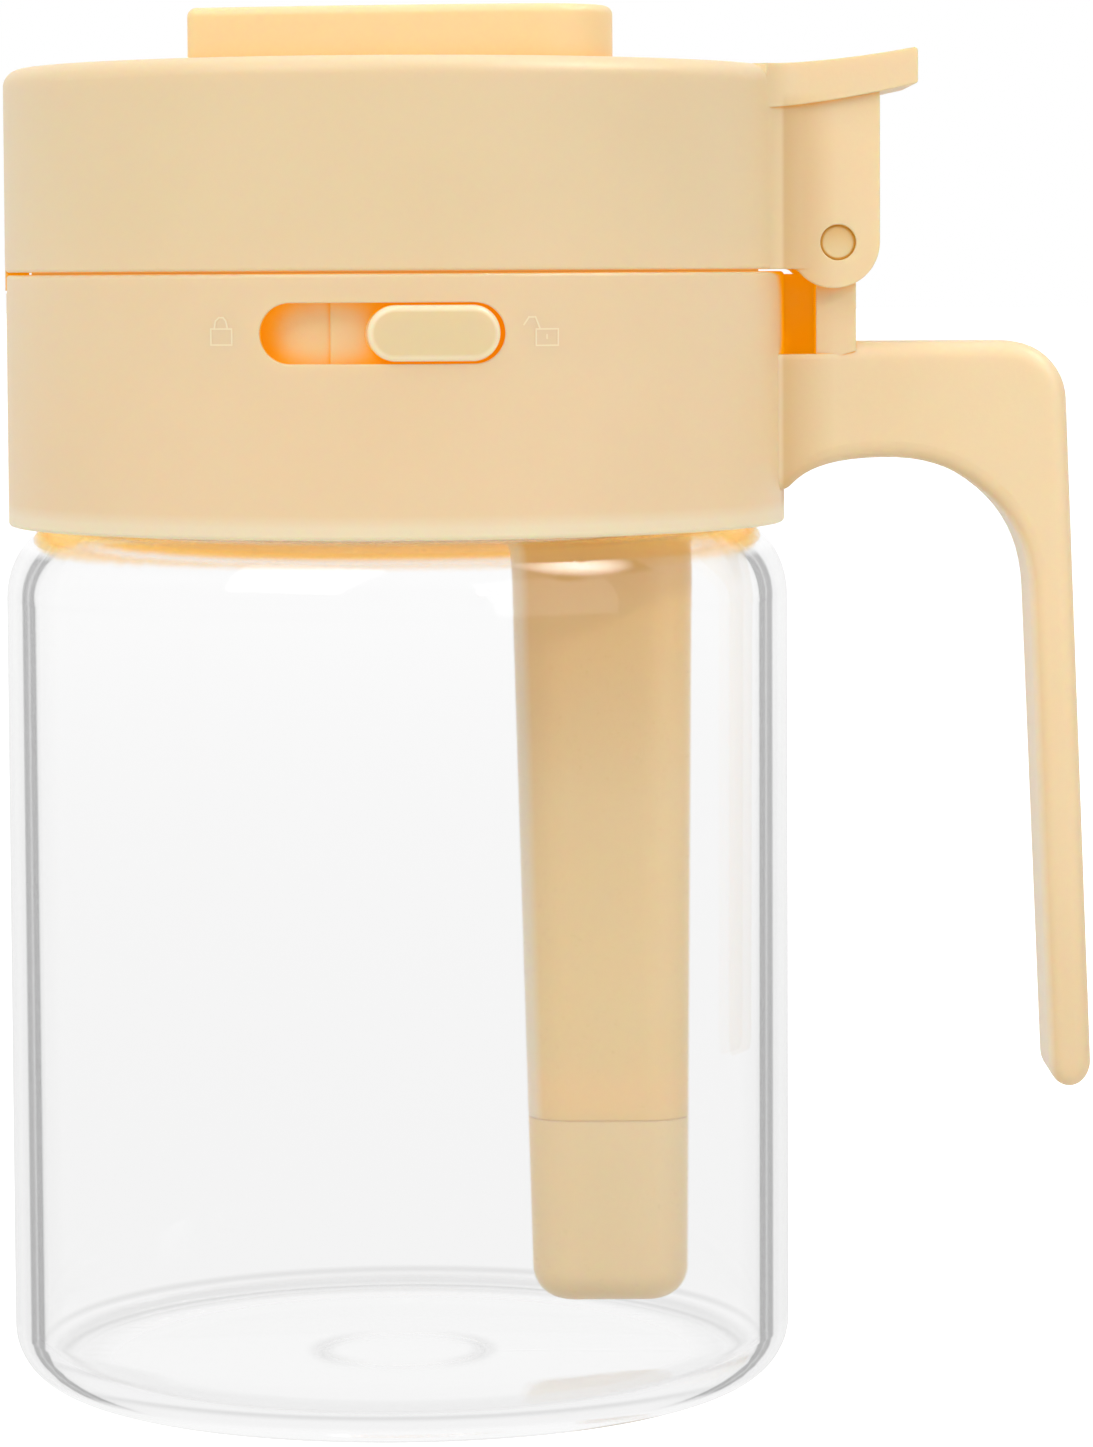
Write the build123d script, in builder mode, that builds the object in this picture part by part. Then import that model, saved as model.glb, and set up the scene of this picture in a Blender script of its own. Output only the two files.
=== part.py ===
from build123d import *
import math
import os

# A hand-sized seasoning shaker: a glass jar with a screwed-on plastic collar that carries the
# handle, a deep hinged lid, a sliding lock, and a storage tube with a spoon inside the jar.
# Millimetres. The base stands on Z = 0, the jar's axis is Z, the handle is towards +X and
# the lock is on the -Y side.

# The jar's radius, the levels of the jar, collar and lid, and how far each wall stands inside
jar_radius = 40.0
collar_inset = 0.3
lid_inset = 0.2
shoulder_z = 80.8
collar_rise = 7.4
collar_height = 25.6
lid_height = 20.6
seam_gap = 0.2

# Glass jar
glass_wall = 2.2
glass_floor = 2.2
heel_radius = 6.0
inner_heel_radius = 3.8
base_ring_width = 4.0
base_push_up = 0.4
mould_mark_radius = 8.4
mould_mark_round = 1.0
mould_mark_depth = 0.25
shoulder_radius = 9.0
neck_step = 6.2
neck_wall = 2.3
neck_rise = 20.1
lip_round = 0.8

# Screw thread between the neck and the thread ring
thread_pitch = 4.0
thread_turns = 1.3
thread_drop = 7.5
thread_start_angle = 40.0
thread_depth = 1.0
thread_base = 2.0
thread_crest = 0.8
thread_clearance = 0.4
thread_root = 0.3

# Plastic walls and common clearances
shell_wall = 2.2
inner_wall = 1.6
edge_round = 0.9
lid_edge_round = 1.8
small_round = 0.4
slip_fit = 0.1
soft_gap = 0.3
pin_fit = 0.05
cut_margin = 1.0

# Thread ring and mouth gasket
ring_bottom_gap = 1.1
gasket_thickness = 1.0
gasket_width = 2.6
ring_flange_thickness = 1.6

# Ledge inside the collar that stops the ring and guides the lock plate
ledge_thickness = 1.0
guide_lip_height = 1.6
guide_lip_width = 0.5

# Inner plate, with the low rim that stands inside the lid and shuts the seam
floor_thickness = 1.6
deck_thickness = 1.4
rim_gap = 0.5
rim_thickness = 0.9
rim_height = 0.9

# Sifter
sifter_margin = 3.4
sifter_thickness = 1.2
sifter_lip = 1.4
sifter_hole_radius = 1.25
sifter_hole_pitch = 5.2

# Storage tube and its end cup; the tube's axis leans out towards the hinge side as it goes down
tube_wall_gap = 1.37
tube_lean = 0.85
tube_top_width = 19.1
tube_top_depth = 16.0
tube_bottom_width = 15.8
tube_bottom_depth = 13.4
tube_corner = 5.0
tube_bottom_corner = 4.4
tube_floor_gap = 5.6
tube_wall = 1.4
tube_floor = 2.0
tube_joint_height = 19.0
tube_end_round = 3.4
tube_flange_width = 1.8
cup_spigot_height = 5.0
cup_spigot_wall = 1.0

# Spoon
spoon_top_gap = 0.8
spoon_handle_width = 6.0
spoon_handle_thickness = 1.6
spoon_bowl_length = 21.0
spoon_bowl_width = 9.4
spoon_bowl_depth = 4.2
spoon_wall = 1.1
spoon_neck_overlap = 3.0
spoon_hole_radius = 1.5
spoon_back_y = 3.6
spoon_bowl_taper = 12
spoon_bowl_round = 1.4

# Lid liner and its seal
liner_gap = 1.0
liner_drop = 4.0
liner_flange_width = 5.0
seal_thickness = 1.5
seal_width = 2.4

# Hinge
hinge_reach = 5.0
hinge_rise = 2.75
pin_radius = 1.75
pin_sink = 0.5
cheek_inner_y = 6.9
cheek_thickness = 2.5
cheek_radius = 4.6
cheek_offset = 0.4
cheek_fillet = 1.0
cheek_root_sink = 1.6
cheek_flare = 4.5
knuckle_radius = 3.6
post_thickness = 4.04
post_offset = 0.08
post_side_gap = 0.3
post_floor_drop = 1.2
web_thickness = 3.0
web_top_drop = 0.3

# Thumb lever: heights against the lid's top, reach from the hinge
lever_half_width = 10.3
lever_flare = 4.5
lever_reach = 7.97
lever_tip_rise = 1.7
lever_thickness = 3.65
lever_mid_rise = 0.6
lever_mid_drop = 3.4
lever_root_drop = 4.35
lever_blend_length = 5.0
lever_blend_drop = 0.05
lever_nose_round = 0.35

# Front lip of the lid
lip_drop = 1.8
lip_half_width = 6.0
lip_thickness = 1.3
lip_clearance = 0.4

# Handle: reach from the collar, heights down from the seam or from its own top
handle_half_width = 6.3
handle_drop = 7.3
handle_reach = 28.5
handle_splay = 2.6
handle_length = 76.3
handle_corner_radius = 6.1
handle_root_depth = 6.6
flare_length = 9.6
flare_spread = 8.4
strap_thickness = 4.3
strap_tip_length = 2.6
arch_reach = 10.5
arch_drop = 11.75
arch_fall = 13.8
arch_foot_drop = 3.2
arch_foot_lean = 0.75
arch_shoulder_x = 8.9
arch_shoulder_z = 2.9
arch_lean = 0.6
handle_edge_round = 1.7

# Lock
slot_length = 23.5
slot_height = 5.85
slot_drop = 5.83
slot_centre_angle = -0.4
knob_length = 12.75
knob_height = 5.4
knob_proud = 0.7
knob_round = 0.7
knob_end_gap = 0.5
plate_thickness = 1.1
plate_half_angle = 15.0
plate_cover_angle = 31.0
plate_step = 0.35
plate_side_gap = 0.3
tongue_angle = 4.0
tongue_height = 2.0
tongue_depth = 2.1
tongue_lead = 6.4
plate_end_gap = 0.2

# Latch hook
hook_tab_width = 2.4
hook_foot_length = 3.0
hook_foot_height = 1.6
hook_gap = 0.4
hook_thickness = 1.3
hook_wall_gap = 0.6
hook_head_height = 1.4
hook_side_room = 2.6
hook_swing_room = 0.6

# Raised block on the lid
block_front_x = -20.6
block_rear_x = 22.2
block_height = 6.0
block_front_half_width = 8.3
block_rear_half_width = 15.2
block_front_round = 1.2
block_rear_round = 7.5
block_wall = 2.0
block_peg_radius = 2.0
block_peg_spacing = 24.0
block_bow_x = 0.0
block_bow_y = 13.2

# Levels and radii that follow from the sizes above
collar_radius = jar_radius - collar_inset
lid_radius = jar_radius - lid_inset
collar_bottom_z = shoulder_z + collar_rise
seam_z = collar_bottom_z + collar_height
floor_level = base_push_up + glass_floor
base_ring_radius = jar_radius - heel_radius - base_ring_width
neck_radius = jar_radius - neck_step
neck_top_z = shoulder_z + neck_rise
thread_start_z = neck_top_z - thread_drop
collar_top_z = seam_z - seam_gap / 2
lid_bottom_z = seam_z + seam_gap / 2
lid_top_z = seam_z + lid_height
lid_under_z = lid_top_z - shell_wall
collar_inner_radius = collar_radius - shell_wall
neck_inner_radius = neck_radius - neck_wall
gasket_radius = neck_inner_radius + slip_fit
basin_radius = gasket_radius
ring_outer_radius = collar_inner_radius - slip_fit
ring_inner_radius = neck_radius + thread_depth + thread_clearance
ring_bottom_z = collar_bottom_z + ring_bottom_gap
gasket_top_z = neck_top_z + gasket_thickness
ring_top_z = gasket_top_z + ring_flange_thickness
ledge_top_z = ring_top_z + ledge_thickness
floor_top_z = ring_top_z + floor_thickness
basin_outer_radius = basin_radius + inner_wall
deck_under_z = collar_top_z - deck_thickness
plate_outer_radius = collar_inner_radius - plate_side_gap
plate_inner_radius = plate_outer_radius - plate_thickness
guide_radius = plate_inner_radius - plate_side_gap
ledge_radius = guide_radius - guide_lip_width
tongue_radius = plate_inner_radius - tongue_depth
seal_bottom_z = collar_top_z + soft_gap
seal_top_z = seal_bottom_z + seal_thickness
rim_outer_radius = lid_radius - shell_wall - rim_gap
liner_radius = basin_radius - liner_gap
liner_flange_radius = liner_radius + liner_flange_width
liner_bottom_z = collar_top_z - liner_drop
tube_bottom_z = floor_level + tube_floor_gap
tube_joint_z = tube_bottom_z + tube_joint_height
tube_top_x = basin_radius - tube_wall_gap - tube_top_width / 2
tube_bottom_x = tube_top_x + tube_lean
tube_flange_top_z = floor_top_z + tube_wall
sifter_edge_x = tube_top_x - tube_top_width / 2 - tube_flange_width - soft_gap - sifter_lip
hinge_x = lid_radius + hinge_reach
hinge_z = seam_z + hinge_rise
cheek_outer_y = cheek_inner_y + cheek_thickness
post_half_width = cheek_inner_y - post_side_gap
handle_top_z = seam_z - handle_drop
post_floor_z = handle_top_z - post_floor_drop
slot_z = seam_z - slot_drop

# Angles along the wall, in degrees, from -Y towards +X
knob_half_angle = math.degrees(math.asin(knob_length / 2 / collar_radius))
slot_half_angle = math.degrees(math.asin(slot_length / 2 / collar_radius))
lock_travel = 2 * (slot_half_angle - knob_half_angle
                   - math.degrees(knob_end_gap / collar_radius))
lock_rest_angle = slot_centre_angle + lock_travel / 2


def wall_plane(angle, radius, height):
    """A plane that lies against the round wall, facing outwards."""
    a = math.radians(angle)
    outward = Vector(math.sin(a), -math.cos(a), 0)
    return Plane(origin=outward * radius + Vector(0, 0, height),
                 x_dir=(math.cos(a), math.sin(a), 0), z_dir=outward)


def sector(inner, outer, start, end, bottom, top, mode=Mode.ADD):
    """A curved bar between two radii and two wall angles, in the part being built."""
    with BuildSketch(Plane.XY.offset(bottom)) as plan:
        with BuildLine():
            outside = CenterArc((0, 0), outer, start - 90, end - start)
            inside = CenterArc((0, 0), inner, start - 90, end - start)
            Line(outside @ 0, inside @ 0)
            Line(outside @ 1, inside @ 1)
        make_face()
    extrude(plan.sketch, amount=top - bottom, mode=mode)


def tube_ring(inner, outer, bottom, top, mode=Mode.ADD):
    """A round ring about the jar's axis, in the part being built."""
    with BuildSketch(Plane.XY.offset(bottom)) as plan:
        Circle(outer)
        if inner > 0:
            Circle(inner, mode=Mode.SUBTRACT)
    extrude(plan.sketch, amount=top - bottom, mode=mode)


def thread_ridge(base_radius, depth, start_z):
    """A helical ridge for a round wall; a negative depth points to the axis."""
    side = math.copysign(1, depth)
    with BuildPart() as ridge:
        with BuildLine() as path:
            Helix(thread_pitch, thread_pitch * thread_turns, base_radius, center=(0, 0, start_z))
        with BuildSketch(Plane(origin=path.line @ 0, x_dir=(1, 0, 0), z_dir=path.line % 0)):
            with BuildLine():
                Polyline((-side * thread_root, -thread_base / 2), (0, -thread_base / 2),
                         (depth, -thread_crest / 2), (depth, thread_crest / 2),
                         (0, thread_base / 2), (-side * thread_root, thread_base / 2),
                         close=True)
            make_face()
        sweep(path=path.line, is_frenet=True)
    return ridge.part.rotate(Axis.Z, thread_start_angle)


# Glass jar
shoulder_centre_radius = jar_radius - shoulder_radius
inner_shoulder_radius = shoulder_radius - glass_wall
shoulder_turn = math.degrees(math.acos(
    (neck_radius - shoulder_centre_radius) / shoulder_radius))
inner_shoulder_turn = math.degrees(math.acos(
    (neck_inner_radius - shoulder_centre_radius) / inner_shoulder_radius))

neck_ridge = thread_ridge(neck_radius, thread_depth, thread_start_z)

with BuildPart() as glass_jar:
    with BuildSketch(Plane.XZ) as jar_profile:
        with BuildLine():
            base = ThreePointArc((0, base_push_up), (base_ring_radius / 2, 3 * base_push_up / 4),
                                 (base_ring_radius, 0))
            Line(base @ 1, (jar_radius - heel_radius, 0))
            heel = CenterArc((jar_radius - heel_radius, heel_radius), heel_radius, -90, 90)
            shoulder = CenterArc((shoulder_centre_radius, shoulder_z), shoulder_radius,
                                 0, shoulder_turn)
            Line(heel @ 1, shoulder @ 0)
            lip = Polyline(shoulder @ 1, (neck_radius, neck_top_z),
                           (neck_inner_radius, neck_top_z))
            inner_shoulder = CenterArc((shoulder_centre_radius, shoulder_z),
                                       inner_shoulder_radius, inner_shoulder_turn,
                                       -inner_shoulder_turn)
            Line(lip @ 1, inner_shoulder @ 0)
            inner_heel = CenterArc(
                (jar_radius - glass_wall - inner_heel_radius, floor_level + inner_heel_radius),
                inner_heel_radius, 0, -90)
            Line(inner_shoulder @ 1, inner_heel @ 0)
            Polyline(inner_heel @ 1, (0, floor_level), base @ 0)
        make_face()
        fillet(jar_profile.vertices().group_by(Axis.Y)[-1], lip_round)
    revolve(axis=Axis.Z)
    with BuildSketch(Plane.XZ):
        with Locations((mould_mark_radius, base_push_up + mould_mark_depth - mould_mark_round)):
            Circle(mould_mark_round)
    revolve(axis=Axis.Z, mode=Mode.SUBTRACT)
    add(neck_ridge)
glass_jar.part.label = "glass_jar"


# Mouth gasket
with BuildPart() as mouth_gasket:
    with BuildSketch(Plane.XY.offset(neck_top_z)):
        Circle(gasket_radius + gasket_width)
        Circle(gasket_radius, mode=Mode.SUBTRACT)
    extrude(amount=gasket_thickness)
mouth_gasket.part.label = "mouth_gasket"


# Thread ring
ring_ridge = thread_ridge(ring_inner_radius, -thread_depth, thread_start_z - thread_pitch / 2)

with BuildPart() as thread_ring:
    with BuildSketch(Plane.XY.offset(ring_bottom_z)):
        Circle(ring_outer_radius)
        Circle(ring_inner_radius, mode=Mode.SUBTRACT)
    extrude(amount=ring_top_z - ring_bottom_z)
    with BuildSketch(Plane.XY.offset(gasket_top_z)):
        Circle(ring_outer_radius)
        Circle(gasket_radius, mode=Mode.SUBTRACT)
    extrude(amount=ring_flange_thickness)
    add(ring_ridge)
thread_ring.part.label = "thread_ring"


# Handle, later joined to the collar
handle_root_x = collar_inner_radius - handle_root_depth
handle_corner_x = collar_radius + handle_reach
handle_end_x = handle_corner_x + handle_splay
handle_end_z = handle_top_z - handle_length
handle_plan_end = handle_end_x + cut_margin
strap_inner_x = handle_end_x - strap_thickness
strap_tip_z = handle_end_z + strap_tip_length
arch_top_x = collar_radius + arch_reach
arch_top_z = handle_top_z - arch_drop
arch_end_z = arch_top_z - arch_fall
arch_foot_z = arch_top_z - arch_foot_drop
flare_end_x = collar_radius + flare_length
flare_half_width = handle_half_width + flare_spread

with BuildPart() as handle:
    with BuildSketch(Plane.XZ):
        with BuildLine():
            top = Line((handle_root_x, handle_top_z),
                       (handle_corner_x - handle_corner_radius, handle_top_z))
            corner = CenterArc((handle_corner_x - handle_corner_radius,
                                handle_top_z - handle_corner_radius),
                               handle_corner_radius, 90, -90)
            outer = Line(corner @ 1, (handle_end_x, strap_tip_z))
            inner = Line((strap_inner_x, strap_tip_z),
                         (handle_corner_x - strap_thickness + arch_lean, arch_end_z))
            EllipticalCenterArc((handle_end_x - strap_thickness / 2, strap_tip_z),
                                strap_thickness / 2, strap_tip_length, start_angle=180,
                                arc_size=180)
            rise = Spline(inner @ 1, (arch_top_x + arch_shoulder_x, arch_top_z - arch_shoulder_z),
                          (arch_top_x, arch_top_z), tangents=(inner % 1, (-1, 0)))
            fall = Spline(rise @ 1, (collar_radius, arch_foot_z),
                          tangents=((-1, 0), (-arch_foot_lean, -1)))
            foot = Line(fall @ 1, (handle_root_x, arch_foot_z))
            Line(foot @ 1, top @ 0)
        make_face()
    extrude(amount=flare_half_width, both=True)
    with BuildSketch(Plane.XY.offset(handle_end_z - cut_margin)):
        with BuildLine():
            flare = Spline((handle_root_x, flare_half_width), (flare_end_x, handle_half_width),
                           tangents=((1, -1), (1, 0)))
            tail = Line(flare @ 1, (handle_plan_end, handle_half_width))
            Polyline(tail @ 1, (handle_plan_end, 0), (handle_root_x, 0), flare @ 0)
        make_face()
        mirror(about=Plane.XZ)
    extrude(amount=handle_length + 2 * cut_margin, mode=Mode.INTERSECT)
    handle_rim = [edge for edge in handle.edges()
                  if abs(edge.center().Y) > handle_half_width / 2
                  and edge.center().X > handle_root_x + slip_fit]
    fillet(handle_rim, handle_edge_round)
    with BuildSketch(Plane.XY.offset(post_floor_z)):
        with Locations((handle_root_x, 0)):
            Rectangle(hinge_x - post_offset - handle_root_x, 2 * flare_half_width,
                      align=(Align.MIN, Align.CENTER))
    extrude(amount=handle_top_z - post_floor_z, mode=Mode.SUBTRACT)


# Collar with the handle and the hinge post, one moulding
notch_radius = lid_radius - lip_thickness - lip_clearance
notch_bottom_z = lid_bottom_z - lip_drop - soft_gap
notch_half_angle = math.degrees(math.asin((lip_half_width + lip_clearance) / collar_radius))
web_top_z = collar_top_z - web_top_drop

with BuildPart() as collar:
    tube_ring(collar_inner_radius, collar_radius, collar_bottom_z, collar_top_z)
    fillet(collar.edges().filter_by(GeomType.CIRCLE).group_by(SortBy.RADIUS)[-1], small_round)
    add(handle.part)
    tube_ring(0, collar_inner_radius, collar_bottom_z, collar_top_z, mode=Mode.SUBTRACT)
    tube_ring(ledge_radius, collar_inner_radius + slip_fit, ring_top_z, ledge_top_z)
    tube_ring(ledge_radius, guide_radius, ledge_top_z, ledge_top_z + guide_lip_height)
    with BuildSketch(Plane.XZ):
        with BuildLine():
            post_side = hinge_x - post_offset + post_thickness / 2
            Polyline((post_side, hinge_z), (post_side, handle_top_z - edge_round),
                     (post_side - post_thickness, post_floor_z - edge_round),
                     (post_side - post_thickness, hinge_z), close=True)
        make_face()
        with Locations((hinge_x, hinge_z)):
            Circle(knuckle_radius)
            Circle(pin_radius + pin_fit, mode=Mode.SUBTRACT)
    extrude(amount=post_half_width, both=True)
    with BuildSketch(Plane.XY.offset(post_floor_z - edge_round)):
        with Locations((collar_inner_radius, 0)):
            Rectangle(hinge_x - post_offset - collar_inner_radius, web_thickness,
                      align=(Align.MIN, Align.CENTER))
        Circle(collar_inner_radius + slip_fit, mode=Mode.SUBTRACT)
    extrude(amount=web_top_z - post_floor_z + edge_round)
    with BuildSketch(Plane.XZ):
        with Locations((hinge_x, hinge_z)):
            Circle(pin_radius + pin_fit)
    extrude(amount=post_half_width + cut_margin, both=True, mode=Mode.SUBTRACT)
    with BuildSketch(wall_plane(slot_centre_angle, collar_radius + cut_margin, slot_z)):
        SlotOverall(slot_length, slot_height)
    extrude(amount=-(2 * shell_wall + cut_margin), mode=Mode.SUBTRACT)
    sector(notch_radius, collar_radius + cut_margin, -90 - notch_half_angle,
           -90 + notch_half_angle, notch_bottom_z, collar_top_z + cut_margin,
           mode=Mode.SUBTRACT)
collar.part.label = "collar"


# Inner plate: basin wall, floor and the deck that closes the top of the collar
tongue_rest_angle = lock_rest_angle - tongue_lead
tongue_locked_angle = tongue_rest_angle - lock_travel
hook_radius = basin_outer_radius + hook_wall_gap
hook_tab_angle = math.degrees(hook_tab_width / hook_radius)
hook_foot_angle = math.degrees(hook_foot_length / hook_radius)
hook_tab_end = (tongue_locked_angle - tongue_angle / 2
                - math.degrees(hook_gap / hook_radius))
hook_tab_start = hook_tab_end - hook_tab_angle
hook_foot_end = hook_tab_end + hook_foot_angle
hook_slot_start = hook_tab_start - hook_side_room
hook_slot_end = hook_foot_end + hook_side_room / 2
hook_slot_radius = hook_radius + hook_thickness + hook_swing_room

sifter_radius = basin_radius - sifter_margin


def sifter_outline(grow):
    """The D-shaped opening on the front side of the floor, grown by a margin."""
    with BuildSketch(Plane.XY.offset(ring_top_z)) as outline:
        Circle(sifter_radius + grow)
        with Locations((sifter_edge_x + grow + basin_radius, 0)):
            Rectangle(2 * basin_radius, 4 * basin_radius, mode=Mode.SUBTRACT)
    return outline.sketch


def tube_size(height, inset):
    """Width, depth and corner radius of the tapered tube at a height."""
    share = (height - tube_bottom_z) / (floor_top_z - tube_bottom_z)
    width = tube_bottom_width + (tube_top_width - tube_bottom_width) * share
    depth = tube_bottom_depth + (tube_top_depth - tube_bottom_depth) * share
    corner = tube_bottom_corner + (tube_corner - tube_bottom_corner) * share
    return width - 2 * inset, depth - 2 * inset, corner - inset


def tube_section(height, inset):
    """The rounded rectangle of the tube at a height, as a sketch."""
    width, depth, corner = tube_size(height, inset)
    lean = tube_lean * (floor_top_z - height) / (floor_top_z - tube_bottom_z)
    with BuildSketch(Plane.XY.offset(height)) as section:
        with Locations((tube_top_x + lean, 0)):
            RectangleRounded(width, depth, corner)
    return section.sketch


def tube_solid(bottom, top, inset, mode=Mode.ADD):
    """A tapered rounded box between two heights, in the part being built."""
    loft([tube_section(bottom, inset), tube_section(top, inset)], ruled=True, mode=mode)


with BuildPart() as inner_plate:
    tube_ring(0, basin_outer_radius, ring_top_z, floor_top_z)
    tube_ring(basin_radius, basin_outer_radius, floor_top_z, collar_top_z)
    tube_ring(basin_radius, ring_outer_radius, deck_under_z, collar_top_z)
    tube_ring(rim_outer_radius - rim_thickness, rim_outer_radius, collar_top_z,
              collar_top_z + rim_height)
    tube_ring(ledge_radius, guide_radius, deck_under_z - guide_lip_height, deck_under_z)
    sector(basin_outer_radius + slip_fit, hook_slot_radius, hook_slot_start, hook_slot_end,
           deck_under_z - guide_lip_height - cut_margin, collar_top_z + cut_margin,
           mode=Mode.SUBTRACT)
    extrude(sifter_outline(0), amount=floor_thickness, mode=Mode.SUBTRACT)
    tube_solid(ring_top_z - cut_margin, floor_top_z + cut_margin, -slip_fit,
               mode=Mode.SUBTRACT)
inner_plate.part.label = "inner_plate"


# Sifter that clips into the floor's front opening
sifter_count = int(2 * sifter_radius / sifter_hole_pitch)
sifter_reach = sifter_radius - sifter_hole_radius - sifter_lip
sifter_points = [
    (column * sifter_hole_pitch - sifter_hole_pitch / 2, row * sifter_hole_pitch)
    for column in range(-sifter_count, sifter_count)
    for row in range(-sifter_count, sifter_count + 1)
    if math.hypot(column * sifter_hole_pitch - sifter_hole_pitch / 2,
                  row * sifter_hole_pitch) < sifter_reach
    and column * sifter_hole_pitch < sifter_edge_x - sifter_hole_radius
]

with BuildPart() as sifter_disc:
    extrude(sifter_outline(-slip_fit), amount=floor_thickness)
    with BuildSketch(Plane.XY.offset(floor_top_z)):
        add(sifter_outline(sifter_lip).moved(Location((0, 0, -ring_top_z))))
    extrude(amount=sifter_thickness)
    with BuildSketch(Plane.XY.offset(ring_top_z)):
        with Locations(*sifter_points):
            Circle(sifter_hole_radius)
    extrude(amount=floor_thickness + sifter_thickness, mode=Mode.SUBTRACT)
sifter_disc.part.label = "sifter_disc"


# Storage tube that hangs in the jar by its flange
flange_width, flange_depth, flange_corner = tube_size(floor_top_z, -tube_flange_width)

with BuildPart() as storage_tube:
    tube_solid(tube_joint_z, floor_top_z, 0)
    with BuildSketch(Plane.XY.offset(floor_top_z)):
        with Locations((tube_top_x, 0)):
            RectangleRounded(flange_width, flange_depth, flange_corner)
        Circle(basin_radius - soft_gap, mode=Mode.INTERSECT)
    extrude(amount=tube_wall)
    tube_solid(tube_joint_z, tube_flange_top_z, tube_wall, mode=Mode.SUBTRACT)
storage_tube.part.label = "storage_tube"


# End cup that closes the tube
with BuildPart() as tube_end_cup:
    tube_solid(tube_bottom_z, tube_joint_z, 0)
    fillet(tube_end_cup.faces().sort_by(Axis.Z)[0].edges(), tube_end_round)
    tube_solid(tube_joint_z, tube_joint_z + cup_spigot_height, tube_wall + slip_fit)
    tube_solid(tube_bottom_z + tube_floor, tube_joint_z - cup_spigot_wall, tube_wall,
               mode=Mode.SUBTRACT)
    tube_solid(tube_joint_z - cup_spigot_wall, tube_joint_z + cup_spigot_height,
               tube_wall + slip_fit + cup_spigot_wall, mode=Mode.SUBTRACT)
tube_end_cup.part.label = "tube_end_cup"


# Lid liner: the cup inside the lid, with the flange that presses on the seal
with BuildPart() as lid_liner:
    tube_ring(0, liner_radius, liner_bottom_z, lid_under_z)
    tube_ring(0, liner_radius - inner_wall, liner_bottom_z + inner_wall, lid_under_z,
              mode=Mode.SUBTRACT)
    tube_ring(liner_radius - inner_wall, liner_flange_radius, seal_top_z,
              seal_top_z + inner_wall)
    fillet(lid_liner.faces().sort_by(Axis.Z)[0].edges(), edge_round)
lid_liner.part.label = "lid_liner"

with BuildPart() as lid_seal:
    tube_ring(liner_radius + slip_fit, liner_radius + slip_fit + seal_width,
              seal_bottom_z, seal_top_z)
    fillet(lid_seal.faces().sort_by(Axis.Z)[0].edges(), small_round)
lid_seal.part.label = "lid_seal"


# Spoon that stands in the tube
spoon_bottom_z = tube_bottom_z + tube_floor + soft_gap
spoon_top_z = liner_bottom_z - spoon_top_gap
spoon_handle_bottom_z = spoon_bottom_z + spoon_bowl_length - spoon_neck_overlap

with BuildPart() as spoon:
    with BuildSketch(Plane.XZ.offset(-spoon_back_y)):
        with Locations((tube_bottom_x, spoon_bottom_z + spoon_bowl_length / 2)):
            SlotOverall(spoon_bowl_length, spoon_bowl_width, rotation=90)
    extrude(amount=spoon_bowl_depth, taper=spoon_bowl_taper)
    fillet(spoon.faces().sort_by(Axis.Y)[0].edges(), spoon_bowl_round)
    offset(amount=-spoon_wall, openings=spoon.faces().sort_by(Axis.Y)[-1])
    with BuildSketch(Plane.XZ.offset(-spoon_back_y)):
        with Locations((tube_bottom_x, (spoon_handle_bottom_z + spoon_top_z) / 2)):
            SlotOverall(spoon_top_z - spoon_handle_bottom_z, spoon_handle_width, rotation=90)
        with Locations((tube_bottom_x, spoon_top_z - spoon_handle_width / 2)):
            Circle(spoon_hole_radius, mode=Mode.SUBTRACT)
    extrude(amount=spoon_handle_thickness)
spoon.part.label = "spoon"


# Lock plate behind the slot, with the tongue that catches the hook
plate_bottom_z = ledge_top_z + plate_end_gap
plate_top_z = deck_under_z - plate_end_gap

with BuildPart() as lock_plate:
    sector(plate_inner_radius, plate_outer_radius, lock_rest_angle - plate_half_angle,
           lock_rest_angle + plate_half_angle, plate_bottom_z, plate_top_z)
    sector(plate_inner_radius, plate_outer_radius - plate_step,
           lock_rest_angle - plate_cover_angle, lock_rest_angle + plate_cover_angle,
           plate_bottom_z, plate_top_z)
    sector(tongue_radius, plate_inner_radius + slip_fit, tongue_rest_angle - tongue_angle / 2,
           tongue_rest_angle + tongue_angle / 2, slot_z, slot_z + tongue_height)
lock_plate.part.label = "lock_plate"

with BuildPart() as lock_knob:
    with BuildSketch(wall_plane(lock_rest_angle, plate_inner_radius, slot_z)):
        SlotOverall(knob_length, knob_height)
    extrude(amount=collar_radius + knob_proud - plate_inner_radius + cut_margin)
    with BuildSketch(Plane.XY.offset(slot_z - slot_height)):
        Circle(collar_radius + knob_proud)
        Circle(plate_outer_radius + pin_fit, mode=Mode.SUBTRACT)
    extrude(amount=2 * slot_height, mode=Mode.INTERSECT)
    knob_front = lock_knob.faces().sort_by(SortBy.AREA)[-2:].sort_by(Axis.Y)[0]
    fillet(knob_front.edges(), knob_round)
lock_knob.part.label = "lock_knob"


# Latch hook under the liner's flange
hook_bottom_z = slot_z - hook_gap - hook_foot_height

with BuildPart() as latch_hook:
    sector(hook_radius, hook_radius + hook_thickness, hook_tab_start, hook_tab_end,
           hook_bottom_z, seal_top_z)
    sector(hook_radius, hook_radius + hook_thickness, hook_tab_end, hook_foot_end,
           hook_bottom_z, hook_bottom_z + hook_foot_height)
    sector(hook_radius, hook_radius + hook_thickness, hook_tab_start - hook_tab_angle,
           hook_tab_end + hook_tab_angle, seal_top_z - hook_head_height, seal_top_z)
latch_hook.part.label = "latch_hook"


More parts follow.
